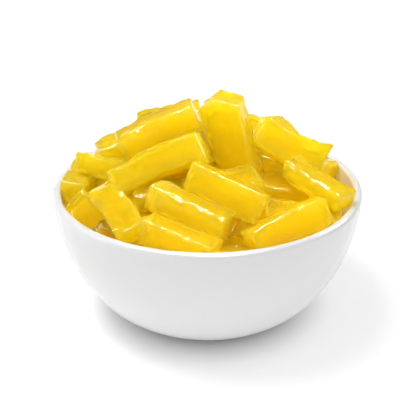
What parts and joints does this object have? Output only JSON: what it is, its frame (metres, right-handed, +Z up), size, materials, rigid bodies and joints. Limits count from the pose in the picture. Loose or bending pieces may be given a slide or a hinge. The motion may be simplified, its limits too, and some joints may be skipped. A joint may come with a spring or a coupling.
{
  "type": "bowl of coconut jelly strips",
  "caption": "Plain white glazed bowl heaped above its rim with short, round-edged strips of wet yellow coconut jelly.",
  "frame": {"origin": "middle of the bowl's foot ring, on the surface it stands on", "axes": "+Z up, +X to the right and +Y to the back as seen from the front"},
  "size_m": [0.115, 0.115, 0.084],
  "materials": {
    "glaze": "smooth white glaze, glossy, rounded lip",
    "jelly": "wet, semi-clear saturated yellow jelly with soft gloss, paler at cut edges and amber in the gaps"
  },
  "bodies": {
    "root": {"bowl": "glaze", "jelly_heap": "jelly"}
  },
  "joints": []
}
